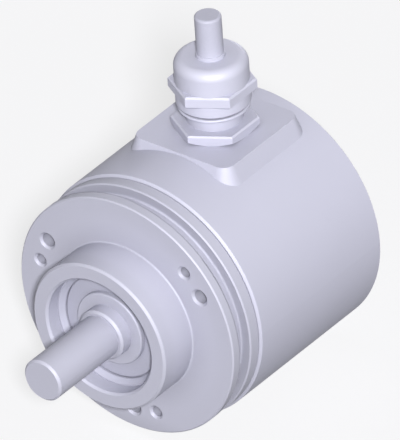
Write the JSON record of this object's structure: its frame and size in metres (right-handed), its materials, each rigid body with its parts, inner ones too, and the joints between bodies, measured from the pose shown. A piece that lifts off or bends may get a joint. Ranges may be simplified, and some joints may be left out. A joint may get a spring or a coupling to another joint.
{
  "type": "absolute rotary encoder",
  "caption": "Absolute rotary encoder with a solid shaft on ball bearings, a clamping flange, a round housing with a flat pad, a cable gland on top, a glass code disc and a geared turn counter.",
  "frame": {"origin": "centre of the flange's mounting face, on the shaft's axis, where the spigot begins", "axes": "the shaft points towards -Y, the housing lies towards +Y, the gland and the cable leave towards +Z"},
  "size_m": [0.059, 0.0825, 0.088],
  "materials": {
    "housing_aluminium": "fine bead-blasted and clear anodised, pale grey",
    "shaft_steel": "ground stainless steel",
    "bearing_steel": "ground and polished",
    "spring_steel": "stamped, zinc plated",
    "turned_aluminium": "turned, natural",
    "nylon": "moulded",
    "brass": "turned",
    "plated_brass": "nickel plated",
    "disc_glass": "polished",
    "magnet": "sintered",
    "circuit_board": "solder mask",
    "chip_plastic": "moulded",
    "ribbon_film": "polyimide film",
    "seal_rubber": "moulded nitrile",
    "cable_sheath": "extruded PVC",
    "core_insulation": "extruded"
  },
  "bodies": {
    "stator": {"bearing_retaining_ring": "spring_steel", "cable_cores": "core_insulation", "cable_jacket": "cable_sheath", "cable_socket": "nylon", "collimating_lens": "disc_glass", "flange_body": "housing_aluminium", "front_bearing_outer_ring": "bearing_steel", "front_bearing_shields": "bearing_steel", "front_posts": "brass", "gear_axles": "shaft_steel", "gear_bridge": "turned_aluminium", "gear_plate": "turned_aluminium", "gland_body": "plated_brass", "gland_insert": "seal_rubber", "gland_nut": "plated_brass", "gland_sealing_ring": "seal_rubber", "housing": "housing_aluminium", "housing_seal": "seal_rubber", "lamp": "disc_glass", "lamp_block": "nylon", "lamp_ribbon": "ribbon_film", "main_board": "circuit_board", "main_board_parts": "chip_plastic", "middle_posts": "brass", "rear_bearing_outer_ring": "bearing_steel", "rear_bearing_shields": "bearing_steel", "rear_posts": "brass", "rear_screws": "shaft_steel", "sensor_board": "circuit_board", "sensor_board_parts": "chip_plastic", "sensor_chip": "chip_plastic", "turn_sensor_chips": "chip_plastic", "wire_plug": "nylon"},
    "rotor": {"shaft": "shaft_steel", "shaft_slinger_ring": "shaft_steel", "front_bearing_inner_ring": "bearing_steel", "rear_bearing_inner_ring": "bearing_steel", "bearing_spacer": "shaft_steel", "shaft_retaining_ring": "spring_steel", "disc_hub": "turned_aluminium", "hub_grub_screws": "shaft_steel", "code_disc": "disc_glass", "disc_clamp_ring": "turned_aluminium", "shaft_pinion": "brass"},
    "front_cage": {"front_bearing_cage": "nylon", "front_bearing_balls": "bearing_steel"},
    "rear_cage": {"rear_bearing_cage": "nylon", "rear_bearing_balls": "bearing_steel"},
    "counter_1": {"counter_wheel_1": "nylon", "counter_magnet_1": "magnet"},
    "counter_2": {"counter_wheel_2": "nylon", "counter_magnet_2": "magnet"},
    "counter_3": {"counter_wheel_3": "nylon", "counter_magnet_3": "magnet"}
  },
  "joints": [
    {"name": "shaft_spin", "type": "hinge", "parent": "stator", "child": "rotor", "pos_m": [0, 0, 0], "axis": [0, 1, 0], "continuous": true},
    {"name": "front_cage_spin", "type": "hinge", "parent": "stator", "child": "front_cage", "pos_m": [0, 0, 0], "axis": [0, 1, 0], "continuous": true},
    {"name": "rear_cage_spin", "type": "hinge", "parent": "stator", "child": "rear_cage", "pos_m": [0, 0, 0], "axis": [0, 1, 0], "continuous": true},
    {"name": "counter_1_spin", "type": "hinge", "parent": "stator", "child": "counter_1", "pos_m": [-0.012, 0, 0], "axis": [0, 1, 0], "continuous": true},
    {"name": "counter_2_spin", "type": "hinge", "parent": "stator", "child": "counter_2", "pos_m": [-0.006, 0, -0.01039], "axis": [0, 1, 0], "continuous": true},
    {"name": "counter_3_spin", "type": "hinge", "parent": "stator", "child": "counter_3", "pos_m": [0.006, 0, -0.01039], "axis": [0, 1, 0], "continuous": true}
  ],
  "couplings": [
    {"joint": "front_cage_spin", "follows": "shaft_spin", "ratio": 0.381},
    {"joint": "rear_cage_spin", "follows": "shaft_spin", "ratio": 0.381},
    {"joint": "counter_1_spin", "follows": "shaft_spin", "ratio": -0.25},
    {"joint": "counter_2_spin", "follows": "shaft_spin", "ratio": 0.0625},
    {"joint": "counter_3_spin", "follows": "shaft_spin", "ratio": -0.015625}
  ]
}
